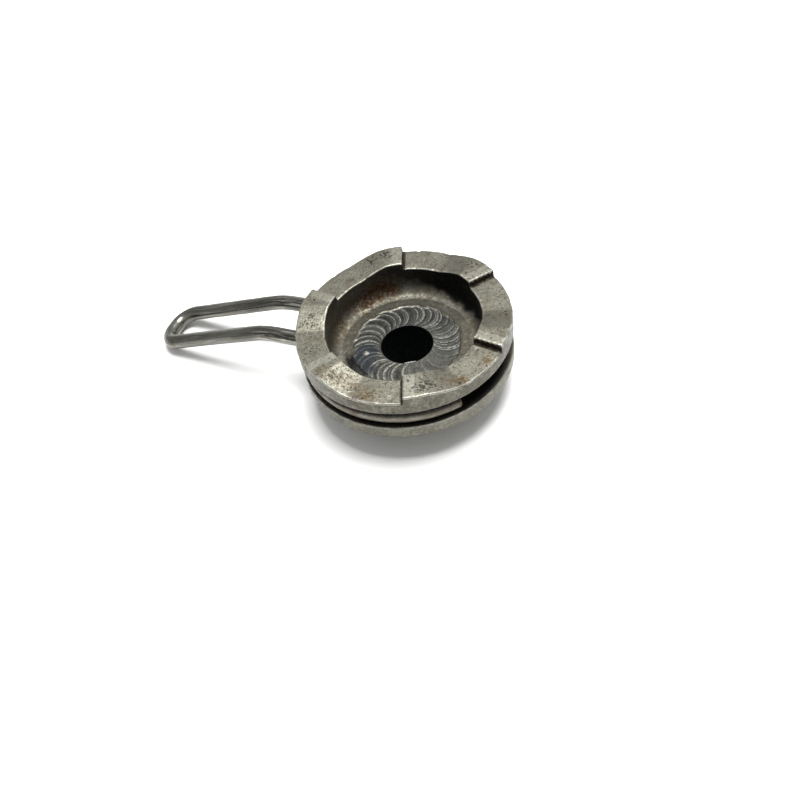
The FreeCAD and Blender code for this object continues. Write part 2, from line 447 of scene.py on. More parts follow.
def soft_ramp(share, ease):
    """Return share kept to 0..1, with its two corners eased."""
    past = share - 1
    low = np.clip(share + ease, 0, 2 * ease) ** 2 / (4 * ease) + np.maximum(share - ease, 0)
    high = np.clip(past + ease, 0, 2 * ease) ** 2 / (4 * ease) + np.maximum(past - ease, 0)
    return low - high


def dog_points(s):
    """Return the dog's grid of points, its radii, levels, angles and regions."""
    section = dog_section(s)
    radius = np.array([row[0] for row in section])[:, None]
    level = np.array([row[1] for row in section])[:, None]
    lift = np.array([row[2] for row in section])[:, None]
    region = np.array([row[3] for row in section])
    angle = tooth_angles(s)[None, :]
    height = level - lift * face_drop(s, radius, angle)
    radius = radius + 0 * angle
    angle = angle + 0 * radius
    points = np.stack([radius * np.cos(angle), radius * np.sin(angle), height], axis=-1)
    return points, radius, height, angle, region


# ---------------------------------------------------------------- marks on the dog

def mill_marks(s, radius, angle):
    """Return the mill's relief on the cup's floor, its bright arcs, dark valleys and border.

    The mill went round the floor in steps, and each footprint kept only its clockwise arc.
    The border is 1 on the milled floor and falls to 0 past each footprint's outer end.
    """
    path_radius = (s.floor_radius + BORE_RADIUS) / 2
    reach = (radius ** 2 + path_radius ** 2 - s.mill_radius ** 2) / (2 * radius * path_radius)
    lead = np.arccos(np.clip(reach, -1, 1))
    turns = (angle + lead - PLUNGE_ANGLE) / (2 * math.pi) * s.mill_steps
    turns = turns + 0.16 * np.sin(turns * 1.7) + 0.08 * np.sin(turns * 4.1 + 1)
    share = turns % 1.0
    step = np.floor(turns)
    strength = 0.8 + 0.2 * np.sin(step * 2.4) * np.sin(step * 0.9 + 1)
    relief = strength * (1 - smooth(share, 0.0, 0.85) + smooth(share, 0.85, 1.0))
    end = s.floor_radius - (0.15 + 0.35 * (1 + np.sin(step * 3.7)) * (0.6 + 0.4 * share)) * MM
    border = smooth(radius, end + 0.12 * MM, end - 0.28 * MM)
    crest = np.exp(-((share - 0.08) / 0.075) ** 2) + np.exp(-((share - 1.08) / 0.075) ** 2)
    hair = np.exp(-((share - 0.33 - 0.06 * np.sin(step * 1.3)) / 0.045) ** 2)
    hair = hair + 0.8 * np.exp(-((share - 0.58 - 0.07 * np.sin(step * 2.1)) / 0.04) ** 2)
    arcs = crest + (0.42 + 0.3 * np.sin(step * 2.9)) * hair
    valley = smooth(share, 0.14, 0.24) * smooth(share, 1.0, 0.86) * (1 - 0.75 * hair)
    valley = valley * (0.5 + 0.5 * smooth(share, 0.35, 0.75))
    return relief * border, arcs * strength * border, valley * strength * border, border


# Rust on the dog: angle in degrees, radius and level in millimetres, size, strength
RUST_SPOTS = (
    (126.5, 18.0, 15.9, 2.6, 1.0),
    (120.5, 17.8, 14.2, 1.5, 1.0),
    (140.5, 18.0, 15.3, 2.6, 0.75),
    (144.5, 17.6, 13.6, 1.6, 0.9),
    (132.5, 17.4, 13.3, 0.8, 0.8),
    (156.5, 17.8, 15.0, 3.0, 0.5),
    (176.5, 17.8, 13.9, 1.6, 0.7),
    (184.5, 17.9, 14.6, 3.4, 0.3),
    (63.5, 17.6, 14.2, 1.6, 0.6),
    (-36.5, 23.4, 20.2, 1.3, 1.0),
    (-41.5, 22.6, 20.3, 2.0, 0.45),
    (-17.5, 23.4, 19.8, 1.4, 0.8),
    (-88.5, 23.4, 19.8, 1.9, 0.75),
    (-95.5, 22.2, 19.8, 1.9, 0.45),
    (-106.5, 21.6, 20.1, 2.0, 0.4),
    (-155.5, 19.6, 21.2, 1.3, 0.85),
    (-152.5, 20.9, 21.2, 0.9, 0.8),
    (14.5, 23.4, 20.6, 1.8, 0.4),
    (81.5, 19.6, 21.2, 0.9, 0.6),
    (-118.5, 22.8, 21.3, 1.6, 0.35),
)

# Clusters of dark pits on the ring's face, in the same terms
PIT_SPOTS = (
    (-54.5, 22.0, 21.2, 1.9, 1.0),
    (-60.5, 22.8, 21.2, 1.2, 0.7),
    (131.5, 22.6, 20.6, 1.6, 1.0),
    (120.5, 22.6, 21.2, 1.5, 1.0),
    (80.5, 20.5, 21.2, 1.3, 0.9),
    (65.5, 22.4, 21.2, 1.6, 0.8),
    (18.5, 23.2, 20.4, 1.4, 0.9),
    (5.5, 23.4, 19.9, 1.3, 0.6),
    (-113.5, 22.4, 21.0, 1.8, 0.8),
    (-98.5, 23.0, 20.2, 1.4, 0.5),
    (-164.5, 22.0, 20.0, 2.0, 0.6),
    (-143.5, 22.0, 20.4, 1.8, 0.6),
)


def spot_field(points, spots):
    """Return how strongly soft spots round the axis mark each point, as rust or pits."""
    total = np.zeros(points.shape[:-1])
    for degrees, radius, level, size, strength in spots:
        turn = math.radians(degrees)
        place = np.array([radius * math.cos(turn), radius * math.sin(turn), level]) * MM
        distance = np.linalg.norm(points - place, axis=-1)
        total += strength * np.exp(-(distance / (size * MM)) ** 2)
    return total


def nicks(points, normals, places, rng):
    """Dent a few small places, each at its own depth."""
    for row, column in places:
        centre = points[row, column]
        size = rng.uniform(0.25, 0.7) * MM
        depth = rng.uniform(0.04, 0.11) * MM
        distance = np.linalg.norm(points - centre, axis=-1)
        hollow = depth * np.exp(-(distance / size) ** 2)
        points -= normals * hollow[..., None]


def quiet_side(angle):
    """Return 0 on the part of the floor that was rubbed smooth, 1 elsewhere."""
    return smooth(np.abs(angle_gap(angle, RUBBED_SIDE)), 0.42, 0.75)


def roughen_dog(s, points, radius, height, angle, region):
    """Move the dog's points in by mill marks, pitting, wear and nicks."""
    normals = grid_normals(points)
    row_region = region[:, None] + 0 * radius
    relief, _, _, border = mill_marks(s, radius, angle)
    on_floor = (row_region == FLOOR) * smooth(radius, 6.3 * MM, 6.8 * MM)
    points = points.copy()
    points[..., 2] += s.floor_step * (1 - border) * (row_region == FLOOR)
    points[..., 2] -= s.mill_depth * relief * on_floor * (0.2 + 0.8 * quiet_side(angle))
    lumps = np.clip(0.5 + 0.5 * ripple(points, 1.8 * MM, 3), 0, 1)
    grain = np.clip(0.5 + 0.5 * ripple(points, 0.5 * MM, 5, 30), 0, 1)
    pitted = np.clip(spot_field(points, PIT_SPOTS), 0, 1)
    depth = np.zeros(radius.shape)
    depth += (row_region == FACE) * (0.010 * lumps + (0.012 + 0.05 * pitted) * grain) * MM
    depth += (row_region == WALL) * (0.016 * lumps + 0.014 * grain) * MM
    depth += (row_region == CUP) * (0.016 * lumps + 0.012 * grain) * MM
    depth += (row_region == FLANGE) * 0.015 * lumps * MM
    points -= normals * depth[..., None]
    rng = np.random.default_rng(11)
    ring_rows = np.flatnonzero(region == FACE)
    rim_rows = np.flatnonzero(region == FLANGE)
    columns = points.shape[1]
    places = [(rng.choice(ring_rows[:4]), rng.integers(columns)) for _ in range(60)]
    places += [(rng.choice(ring_rows[-4:]), rng.integers(columns)) for _ in range(40)]
    places += [(rng.choice(ring_rows), rng.integers(columns)) for _ in range(40)]
    places += [(rng.choice(rim_rows), rng.integers(columns)) for _ in range(26)]
    nicks(points, normals, places, rng)
    return points


def dog_oil_and_shade(s, points, radius, height, angle, row_region):
    """Return the dog's oil and painted shade, its distance from the mill's plunge and the oily
    patch there.
    """
    depth = DOG_HIGH.z - height
    # Painted shade under the cup's rim, deepest and reaching furthest down on the back, with a
    # ragged lower edge.
    turn = angle_gap(angle, RIM_SHADE_SIDE) / RIM_SHADE_SPREAD
    rim_shade_to = (1.6 + 6.8 * np.exp(-turn ** 2)) * MM
    soft = (0.6 + 1.5 * smooth(np.abs(turn), 0.3, 1.6)) * MM
    edge = rim_shade_to + 0.5 * MM * ripple(points, 1.5 * MM, 61)
    oil_and_shade = (row_region == CUP) * smooth(depth, edge + soft, edge - soft)
    oil_and_shade *= 0.42 + 0.58 * np.exp(-(turn / 1.1) ** 2)
    floor_edge = np.exp(-((radius - s.floor_radius - 2.0 * MM) / (0.3 * MM)) ** 2)
    back = 0.5 + 0.5 * np.cos(angle_gap(angle, OILY_SIDE))
    oil_and_shade += (row_region == CUP) * 0.45 * floor_edge * back
    flat = smooth(radius, s.floor_radius + 2.3 * MM, s.floor_radius + 1.2 * MM)
    bowl = (row_region == CUP) | (row_region == FLOOR)
    oil_and_shade += bowl * 0.42 * flat * back
    # Darker over the bowl's low part on the right.
    low_right = smooth(np.abs(angle_gap(angle, DARK_BOWL_SIDE)), 0.9, 0.3)
    oil_and_shade += bowl * 0.4 * low_right * smooth(radius, 12.8 * MM, 13.6 * MM)
    # Painted shade: the groove is black all round, standing in for the shade deep inside it.
    oil_and_shade += row_region == GROOVE
    # Some oil on the flange's top, and painted shade growing to black under the wire where it
    # rests.
    oil_and_shade += (row_region == SHELF) * (0.3 + 0.7 * smooth(radius, 24.1 * MM, 23.4 * MM))
    # Black in the bore, as painted shade of the deep hole.
    oil_and_shade += row_region == BORE
    # Painted shade on the ring's wall, darkening towards its foot over the groove.
    under = smooth(height, s.hub_height + s.flange_thickness + s.groove_width + 0.9 * MM,
                   s.hub_height + s.flange_thickness + s.groove_width)
    oil_and_shade += (row_region == WALL) * 0.35 * under
    plunge = np.hypot(points[..., 0] - PLUNGE_RADIUS * math.cos(PLUNGE_ANGLE),
                      points[..., 1] - PLUNGE_RADIUS * math.sin(PLUNGE_ANGLE))
    below = angle_gap(angle, PATCH_SIDE)
    patch = smooth(np.abs(below), 0.42, 0.22) * smooth(radius, 9.0 * MM, 10.5 * MM)
    patch = np.maximum(patch, smooth(plunge, 3.2 * MM, 2.2 * MM))
    on_floor = (row_region == FLOOR) | ((row_region == CUP) & (radius < 15 * MM))
    oil_and_shade += on_floor * 0.8 * patch
    return np.clip(oil_and_shade, 0, 1), plunge, patch


def upright_rust_and_shade(s, radius, angle, row_region):
    """Return 1 on the teeth's upright faces and the round at their feet, 0 elsewhere."""
    local = (angle - s.first_tooth) % PITCH
    to_face = radius * (PITCH - UPRIGHT - local)
    foot = smooth(to_face, s.tooth_fillet * 1.7, s.tooth_fillet * 1.1)
    climbed = up_the_face(s, angle)
    return (row_region == FACE) * foot * smooth(climbed, 0.97, 0.75)


def dog_attributes(s, mesh, points, radius, height, angle, region):
    """Store rust, oil and painted shade, rubbed and burnished places, pits and mill arcs for the
    materials.
    """
    row_region = region[:, None] + 0 * radius
    oil_and_shade, plunge, patch = dog_oil_and_shade(s, points, radius, height, angle, row_region)
    upright = upright_rust_and_shade(s, radius, angle, row_region)
    # Rust on the teeth's upright faces and their feet, with black over it as painted shade of
    # those faces and of the creases at their feet.
    oil_and_shade = np.clip(oil_and_shade + 0.78 * upright, 0, 1)
    rust = spot_field(points, RUST_SPOTS)
    rust += upright
    on_floor = row_region == FLOOR
    ring = DOG_HIGH.x
    cup = ring - s.cup_wall
    face = row_region == FACE
    local = (angle - s.first_tooth) % PITCH
    rubbed = face * np.exp(-((ring - radius) / (0.3 * MM)) ** 2)
    rubbed += face * 0.9 * np.exp(-((radius - cup) / (0.3 * MM)) ** 2)
    past_edge = radius * local
    rubbed += 0.5 * face * np.exp(-(past_edge / (0.22 * MM)) ** 2)
    flange_edge = s.hub_height + s.flange_thickness
    rubbed += (row_region == FLANGE) * np.exp(-((height - flange_edge) / (0.26 * MM)) ** 2)
    groove_edge = flange_edge + s.groove_width
    rubbed += 0.4 * (row_region == WALL) * np.exp(-((height - groove_edge) / (0.4 * MM)) ** 2)
    rubbed += on_floor * smooth(plunge, 1.0 * MM, 0.3 * MM)
    rubbed *= 0.6 + 0.4 * ripple(points, 1.1 * MM, 31)
    burnish = face * smooth(past_edge, 2.65 * MM, 2.5 * MM) * (1 - upright)
    _, arcs, valley, border = mill_marks(s, radius, angle)
    inner = on_floor * smooth(radius, 6.2 * MM, 6.5 * MM)
    quiet = quiet_side(angle)
    right = 0.5 + 0.5 * np.cos(angle_gap(angle, DULL_SIDE))
    add_attribute(mesh, "rust", np.clip(rust, 0, 1))
    add_attribute(mesh, "oil_and_shade", oil_and_shade)
    add_attribute(mesh, "rubbed", np.clip(rubbed, 0, 1))
    add_attribute(mesh, "burnish", np.clip(burnish, 0, 1))
    add_attribute(mesh, "pitted", np.clip(spot_field(points, PIT_SPOTS), 0, 1))
    arcs = arcs * inner * (0.25 + 0.75 * quiet) * (1 - 0.75 * patch)
    valley = valley * inner * quiet * (1 - 0.5 * right) * (1 - patch)
    add_attribute(mesh, "arcs", np.clip(arcs, 0, 1))
    add_attribute(mesh, "valley", np.clip(valley, 0, 1))
    add_attribute(mesh, "milled", border * on_floor)


# ---------------------------------------------------------------- material tools

class Nodes:
    """A short way to build a material's node tree."""

    def __init__(self, name):
        self.material = bpy.data.materials.new(name)
        self.material.use_nodes = True
        self.tree = self.material.node_tree
        self.tree.nodes.clear()
        self.shader = self.add("ShaderNodeBsdfPrincipled")
        output = self.add("ShaderNodeOutputMaterial")
        self.tree.links.new(self.shader.outputs["BSDF"], output.inputs["Surface"])

    def add(self, kind, **settings):
        node = self.tree.nodes.new(kind)
        for key, value in settings.items():
            setattr(node, key, value)
        return node

    def feed(self, socket, value):
        """Link a socket to another, or set its value."""
        if isinstance(value, bpy.types.NodeSocket):
            self.tree.links.new(value, socket)
        else:
            socket.default_value = value

    def attribute(self, name):
        return self.add("ShaderNodeAttribute", attribute_name=name).outputs["Fac"]

    def place(self):
        return self.add("ShaderNodeTexCoord").outputs["Object"]

    def math(self, operation, first, second=0.0):
        node = self.add("ShaderNodeMath", operation=operation)
        self.feed(node.inputs[0], first)
        self.feed(node.inputs[1], second)
        return node.outputs[0]

    def ramp(self, value, low, high, out_low=0.0, out_high=1.0):
        """Return value eased from low..high to out_low..out_high."""
        node = self.add("ShaderNodeMapRange", interpolation_type="SMOOTHSTEP")
        for socket, number in zip(node.inputs, (value, low, high, out_low, out_high)):
            self.feed(socket, number)
        return node.outputs[0]

    def noise(self, vector, size, detail=3.0, roughness=0.55, warp=0.0):
        """Return noise whose lumps are about size metres across."""
        node = self.add("ShaderNodeTexNoise")
        self.feed(node.inputs["Vector"], vector)
        node.inputs["Scale"].default_value = 1 / size
        node.inputs["Detail"].default_value = detail
        node.inputs["Roughness"].default_value = roughness
        node.inputs["Distortion"].default_value = warp
        return node.outputs["Fac"]

    def cells(self, vector, size):
        node = self.add("ShaderNodeTexVoronoi")
        self.feed(node.inputs["Vector"], vector)
        node.inputs["Scale"].default_value = 1 / size
        return node.outputs["Distance"]

    def mix(self, share, first, second):
        """Return a colour between two, each a socket or (r, g, b)."""
        node = self.add("ShaderNodeMix", data_type="RGBA")
        self.feed(node.inputs["Factor"], share)
        for socket, colour in ((node.inputs[6], first), (node.inputs[7], second)):
            if not isinstance(colour, bpy.types.NodeSocket):
                colour = (*colour, 1.0)
            self.feed(socket, colour)
        return node.outputs[2]

    def vector(self, x, y, z):
        node = self.add("ShaderNodeCombineXYZ")
        for socket, value in zip(node.inputs, (x, y, z)):
            self.feed(socket, value)
        return node.outputs[0]

    def bump(self, height, depth, normal=None):
        node = self.add("ShaderNodeBump")
        node.inputs["Strength"].default_value = 1.0
        node.inputs["Distance"].default_value = depth
        self.feed(node.inputs["Height"], height)
        if normal is not None:
            self.feed(node.inputs["Normal"], normal)
        return node.outputs[0]

    def turned(self):
        """Return coordinates that stay the same round the axis, for lathe marks."""
        split = self.add("ShaderNodeSeparateXYZ")
        self.feed(split.inputs[0], self.place())
        x_squared = self.math("MULTIPLY", split.outputs[0], split.outputs[0])
        y_squared = self.math("MULTIPLY", split.outputs[1], split.outputs[1])
        radius = self.math("SQRT", self.math("ADD", x_squared, y_squared))
        return self.vector(radius, split.outputs[2], 0.0)


# Tones of the steel, wire and dirt, and of painted shade, a painted reflection and painted
# highlights, that lie between the finishes' own colours
LIGHT_STEEL = (0.252, 0.248, 0.205)
PALE_GRAIN = (0.302, 0.299, 0.252)
BROWN_STAIN = (0.085, 0.068, 0.042)
BURNISHED_STEEL = (0.266, 0.261, 0.216)
PIT_DIRT = (0.027, 0.024, 0.018)
MILLED_LIGHT = (0.097, 0.096, 0.082)
MILLED_DARK = (0.061, 0.060, 0.053)
MILLED_GRAIN = (0.025, 0.024, 0.022)
FLOOR_OIL = (0.019, 0.024, 0.030)
MILL_VALLEY_DARK = (0.010, 0.010, 0.009)
MILL_ARC = (0.360, 0.356, 0.317)
# Near-black painted shade of the deep bore, over old oil
BORE_OIL_AND_SHADE = (0.0012, 0.0022, 0.0018)
BORE_OIL_AND_SHADE_DARK = (0.0006, 0.0012, 0.0010)
WIRE_DARK = (0.095, 0.093, 0.08)
WIRE_STREAK = (0.32, 0.315, 0.28)
WIRE_PATCH = (0.10, 0.075, 0.05)
# Painted dark reflection on the legs
WIRE_DARK_REFLECTION = (0.026, 0.026, 0.022)
# Painted highlight specks on the legs
WIRE_GLINT = (0.40, 0.395, 0.35)
WIRE_RUST = (0.085, 0.060, 0.041)

# Below 1, because old dirt dulls the bare metal
METALLIC = 0.9


def steel_tone(n, place, colours, look):
    """Return worn steel's colour and the masks that its gloss and bumps follow.

    look gives: dull, the share of dark patches; stain, the share of brown stain; pits, how
    pitted it is; lathe, how deep its turning marks are; rust, its rust's colour.
    """
    masks = {}
    patches = n.noise(place, 3.2 * MM, 5, 0.66, 0.4)
    mottle = n.noise(place, 0.9 * MM, 5, 0.7)
    grain = n.noise(place, 0.3 * MM, 4, 0.75)
    broad = n.noise(place, 4.0 * MM, 5, 0.68, 0.6)
    both = n.math("ADD", n.math("MULTIPLY", patches, 0.5), n.math("MULTIPLY", mottle, 0.5))
    dull = n.ramp(both, 0.60 - look["dull"] * 0.25, 0.70 - look["dull"] * 0.15, 0.0, 0.85)
    light = n.ramp(both, 0.48, 0.38, 0.0, 0.4)
    colour = n.mix(light, colours.steel, LIGHT_STEEL)
    colour = n.mix(dull, colour, colours.dull_steel)
    colour = n.mix(n.ramp(grain, 0.45, 0.65, 0.0, 0.8), colour, colours.dull_steel)
    colour = n.mix(n.ramp(grain, 0.42, 0.32, 0.0, 0.3), colour, PALE_GRAIN)
    stain = n.ramp(broad, 0.62 - look["stain"] * 0.2, 0.74 - look["stain"] * 0.2)
    stain = n.math("MULTIPLY", stain, n.ramp(mottle, 0.38, 0.6, 0.15, 0.85))
    colour = n.mix(n.math("MULTIPLY", stain, look["stain"]), colour, BROWN_STAIN)
    burnish = n.math("MULTIPLY", n.attribute("burnish"), n.ramp(mottle, 0.3, 0.7, 0.7, 0.3))
    colour = n.mix(burnish, colour, BURNISHED_STEEL)
    rusty = n.math("MULTIPLY", n.attribute("rust"), n.ramp(mottle, 0.36, 0.6, 0.35, 1.2))
    rusty = n.math("MINIMUM", rusty, 1.0)
    dark_rust = tuple(c * 0.42 for c in look["rust"])
    colour = n.mix(rusty, colour, n.mix(n.ramp(grain, 0.38, 0.66), look["rust"], dark_rust))
    pit_field = n.math("ADD", n.cells(place, 0.8 * MM), n.math("MULTIPLY", mottle, 0.7))
    pit_field = n.math("SUBTRACT", pit_field, n.math("MULTIPLY", n.attribute("pitted"), 0.42))
    pits = n.ramp(pit_field, 0.42 + look["pits"] * 0.1, 0.28 + look["pits"] * 0.1, 0.0, 0.85)
    most = min(1.0, look["pits"])
    pits = n.math("MAXIMUM", pits, n.ramp(grain, 0.60, 0.68, 0.0, most))
    blots = n.noise(place, 0.7 * MM, 2, 0.5, 0.4)
    blots = n.math("ADD", blots, n.math("MULTIPLY", n.attribute("pitted"), 0.11))
    pits = n.math("MAXIMUM", pits, n.ramp(blots, 0.63, 0.70, 0.0, 0.8 * most))
    masks["pits"] = pits
    colour = n.mix(pits, colour, PIT_DIRT)
    rubbed = n.math("MULTIPLY", n.attribute("rubbed"), n.ramp(mottle, 0.35, 0.55, 0.3, 1.0))
    colour = n.mix(rubbed, colour, colours.bright_steel)
    # Old oil and painted shade, both laid on as black.
    oil_and_shade = n.math("MULTIPLY", n.attribute("oil_and_shade"), n.ramp(mottle, 0.3, 0.6, 0.85, 1.1))
    colour = n.mix(n.math("MINIMUM", oil_and_shade, 1.0), colour, colours.oil_and_shade)
    masks.update(mottle=mottle, grain=grain, rusty=rusty, rubbed=rubbed)
    return colour, masks


def worn_steel(name, colours, look):
    """Return one finish of the dog's steel; look also gives rough, its roughness."""
    n = Nodes(name)
    colour, masks = steel_tone(n, n.place(), colours, look)
    lathe = n.noise(n.turned(), 0.11 * MM, 3, 0.6)
    lathe_tone = n.ramp(lathe, 0.38, 0.62, 0.0, look["lathe"])
    colour = n.mix(lathe_tone, colour, colours.dull_steel)
    n.feed(n.shader.inputs["Base Color"], colour)
    n.shader.inputs["Metallic"].default_value = METALLIC
    rough = n.ramp(masks["mottle"], 0.3, 0.7, look["rough"] - 0.05, look["rough"] + 0.12)
    rough = n.math("ADD", rough, n.math("MULTIPLY", masks["rusty"], 0.22))
    rough = n.math("SUBTRACT", rough, n.math("MULTIPLY", masks["rubbed"], 0.14))
    n.feed(n.shader.inputs["Roughness"], rough)
    normal = n.bump(masks["grain"], 0.018 * MM)
    normal = n.bump(masks["mottle"], 0.02 * MM, normal)
    normal = n.bump(n.math("MULTIPLY", masks["pits"], -1.0), 0.05 * MM, normal)
    normal = n.bump(lathe, 0.08 * MM * look["lathe"], normal)
    n.feed(n.shader.inputs["Normal"], normal)
    return n.material


def milled_steel(name, colours, look):
    """Return the cup floor's finish: bright arcs and dark oil, in a border of cup steel."""
    n = Nodes(name)
    place = n.place()
    cup, masks = steel_tone(n, place, colours, look)
    grain = masks["grain"]
    patches = n.noise(place, 4.0 * MM, 3, 0.5)
    colour = n.mix(n.ramp(patches, 0.38, 0.66), MILLED_LIGHT, MILLED_DARK)
    colour = n.mix(n.ramp(grain, 0.42, 0.66, 0.0, 0.9), colour, MILLED_GRAIN)
    colour = n.mix(n.math("MULTIPLY", n.attribute("oil_and_shade"), 0.9), colour, FLOOR_OIL)
    # Darker in the mill marks' valleys, less so towards the right side.
    valley = n.math("MULTIPLY", n.attribute("valley"),
                    n.ramp(masks["mottle"], 0.3, 0.6, 1.0, 0.55))
    colour = n.mix(valley, colour, MILL_VALLEY_DARK)
    broken = n.ramp(n.noise(place, 0.6 * MM, 4, 0.7), 0.38, 0.6, 0.1, 1.0)
    arcs = n.math("MULTIPLY", n.attribute("arcs"), broken)
    colour = n.mix(arcs, colour, MILL_ARC)
    rubbed = n.math("MULTIPLY", n.attribute("rubbed"), n.ramp(grain, 0.6, 0.4))
    colour = n.mix(rubbed, colour, colours.bright_steel)
    colour = n.mix(n.attribute("milled"), cup, colour)
    n.feed(n.shader.inputs["Base Color"], colour)
    n.shader.inputs["Metallic"].default_value = METALLIC
    n.feed(n.shader.inputs["Roughness"], n.ramp(masks["mottle"], 0.3, 0.7, 0.34, 0.5))
    normal = n.bump(grain, 0.018 * MM)
    normal = n.bump(n.math("ADD", arcs, masks["mottle"]), 0.03 * MM, normal)
    n.feed(n.shader.inputs["Normal"], normal)
    return n.material


def bore_finish():
    """Return the bore's finish: old black oil, darkened to near-black as painted shade of the
    deep hole, that throws back almost nothing.
    """
    n = Nodes("oiled_and_shaded_bore")
    shade = n.noise(n.place(), 1.2 * MM, 3, 0.6)
    colour = n.mix(n.ramp(shade, 0.4, 0.6), BORE_OIL_AND_SHADE, BORE_OIL_AND_SHADE_DARK)
    n.feed(n.shader.inputs["Base Color"], colour)
    n.feed(n.shader.inputs["Roughness"], n.ramp(shade, 0.3, 0.7, 0.7, 0.9))
    n.shader.inputs["Specular IOR Level"].default_value = 0.02
    return n.material


def dog_materials(colours):
    """Return the dog's finishes, in the order of its regions."""
    rust = tuple(colours.rust)
    ochre = tuple(colours.stain)
    foot = {"dull": 0.8, "stain": 0.5, "pits": 0.4, "lathe": 0.25, "rough": 0.46, "rust": rust}
    flange = {"dull": 0.5, "stain": 0.3, "pits": 0.5, "lathe": 0.3, "rough": 0.42, "rust": rust}
    shelf = {"dull": 0.9, "stain": 0.2, "pits": 0.4, "lathe": 0.3, "rough": 0.42, "rust": rust}
    groove = {"dull": 1.0, "stain": 0.3, "pits": 0.2, "lathe": 0.1, "rough": 0.5, "rust": rust}
    wall = {"dull": 0.95, "stain": 0.7, "pits": 0.7, "lathe": 0.1, "rough": 0.42, "rust": rust}
    face = {"dull": 0.48, "stain": 0.6, "pits": 1.15, "lathe": 0.0, "rough": 0.46, "rust": ochre}
    cup = {"dull": 0.95, "stain": 0.8, "pits": 0.6, "lathe": 0.0, "rough": 0.52, "rust": rust}
    return [
        worn_steel("hub_steel", colours, foot),
        worn_steel("flange_steel", colours, flange),
        worn_steel("flange_top_steel", colours, shelf),
        worn_steel("groove_steel", colours, groove),
        worn_steel("ring_wall_steel", colours, wall),
        worn_steel("ring_face_steel", colours, face),
        worn_steel("cup_steel", colours, cup),
        milled_steel("milled_floor_steel", colours, cup),
        bore_finish(),
    ]


# ---------------------------------------------------------------- the clip's wire

def arc_points(centre, start, end, steps, outward):
    """Return points on a round from start to end about centre, on outward's side."""
    first = (start - centre).normalized()
    last = (end - centre).normalized()
    radius = (start - centre).length
    sweep = math.acos(max(-1.0, min(1.0, first.dot(last))))
    side = (last - first * first.dot(last)).normalized()
    if outward > math.pi:
        sweep = 2 * math.pi - sweep
        side = -side
    points = []
    for i in range(steps):
        turn = sweep * i / steps
        points.append(centre + (first * math.cos(turn) + side * math.sin(turn)) * radius)
    return points


def line_points(start, end, steps):
    return [start.lerp(end, i / steps) for i in range(steps)]


def clip_half_path(s):
    """Return half the wire's centreline, from a free end to the middle of the tail's end."""
    half = s.tail_pitch / 2
    bend_y = half + s.root_bend
    bend_x = -math.sqrt((s.arm_radius + s.root_bend) ** 2 - bend_y ** 2)
    root_angle = math.atan2(bend_y, bend_x)
    points = []
    steps = 150
    for i in range(steps):
        angle = s.end_angle + (root_angle - s.end_angle) * i / steps
        points.append(Vector((s.arm_radius * math.cos(angle), s.arm_radius * math.sin(angle),
                              s.level)))
    centre = Vector((bend_x, bend_y, s.level))
    leave = Vector((s.arm_radius * math.cos(root_angle), s.arm_radius * math.sin(root_angle),
                    s.level))
    leg_start = centre + Vector((0, -s.root_bend, 0))
    points += arc_points(centre, leave, leg_start, 12, 0)
    slope = math.atan2(s.level - s.end_level, s.tail_length - s.dip_at)
    down = Vector((-math.cos(slope), 0, -math.sin(slope)))
    dip = Vector((-s.dip_at, half, s.level))
    setback = s.dip_bend * math.tan(slope / 2)
    dip_start = dip + Vector((setback, 0, 0))
    dip_end = dip + down * setback
    points += line_points(leg_start, dip_start, 26)
    points += arc_points(dip_start - Vector((0, 0, s.dip_bend)), dip_start, dip_end, 8, 0)
    end_corner = Vector((-s.tail_length, half, s.end_level))
    corner_start = end_corner - down * s.tail_corner
    corner_end = end_corner + Vector((0, -s.tail_corner, 0))
    points += line_points(dip_end, corner_start, 78)
    corner_centre = corner_start + Vector((0, -s.tail_corner, 0))
    points += arc_points(corner_centre, corner_start, corner_end, 14, 0)
    points += line_points(corner_end, Vector((corner_end.x, 0, corner_end.z)), 6)
    return points


def clip_path(s):
    """Return the whole centreline as an array of points."""
    half = clip_half_path(s)
    middle = Vector((half[-1].x, 0, half[-1].z))
    other = [Vector((p.x, -p.y, p.z)) for p in reversed(half)]
    return np.array(half + [middle] + other)


def path_frames(path):
    """Return tangents and two cross directions that don't twist along the path."""
    tangents = np.gradient(path, axis=0)
    tangents /= np.linalg.norm(tangents, axis=1)[:, None]
    up = np.array([0.0, 0.0, 1.0])
    first = []
    for tangent in tangents:
        up = up - tangent * (up @ tangent)
        up = up / np.linalg.norm(up)
        first.append(up)
    first = np.array(first)
    return tangents, first, np.cross(tangents, first)


def wire_points(s):
    """Return the wire's skin as a grid of points, with its place along and around."""
    path = clip_path(s)
    tangents, first, second = path_frames(path)
    steps = np.linalg.norm(np.diff(path, axis=0), axis=1)
    along = np.concatenate([[0], np.cumsum(steps)])
    bevel = 0.3 * MM
    start = np.array([0.0, 0.0, 0.0, 0.1, 0.45, 1.0]) * bevel
    inset = np.array([1.0, 0.45, 0.0, 0.0, 0.0, 0.0])
    around = np.linspace(0, 2 * math.pi, 32, endpoint=False)
    circle = first[:, None] * np.cos(around)[:, None] + second[:, None] * np.sin(around)[:, None]
    radius = s.wire_radius * (1 - end_taper(along, bevel))
    skin = path[:, None] + circle * radius[:, None, None]
    dents = 0.5 + 0.5 * ripple(skin, 2.2 * MM, 41)
    skin -= circle * (0.05 * MM * dents)[..., None]
    caps = [cap_rows(path[0], circle[0], radius[0]), cap_rows(path[-1], circle[-1], radius[-1])]
    skin = np.concatenate([caps[0][::-1], skin, caps[1]])
    pad = len(caps[0])
    along = np.concatenate([np.full(pad, along[0]), along, np.full(pad, along[-1])])
    return skin, along, around


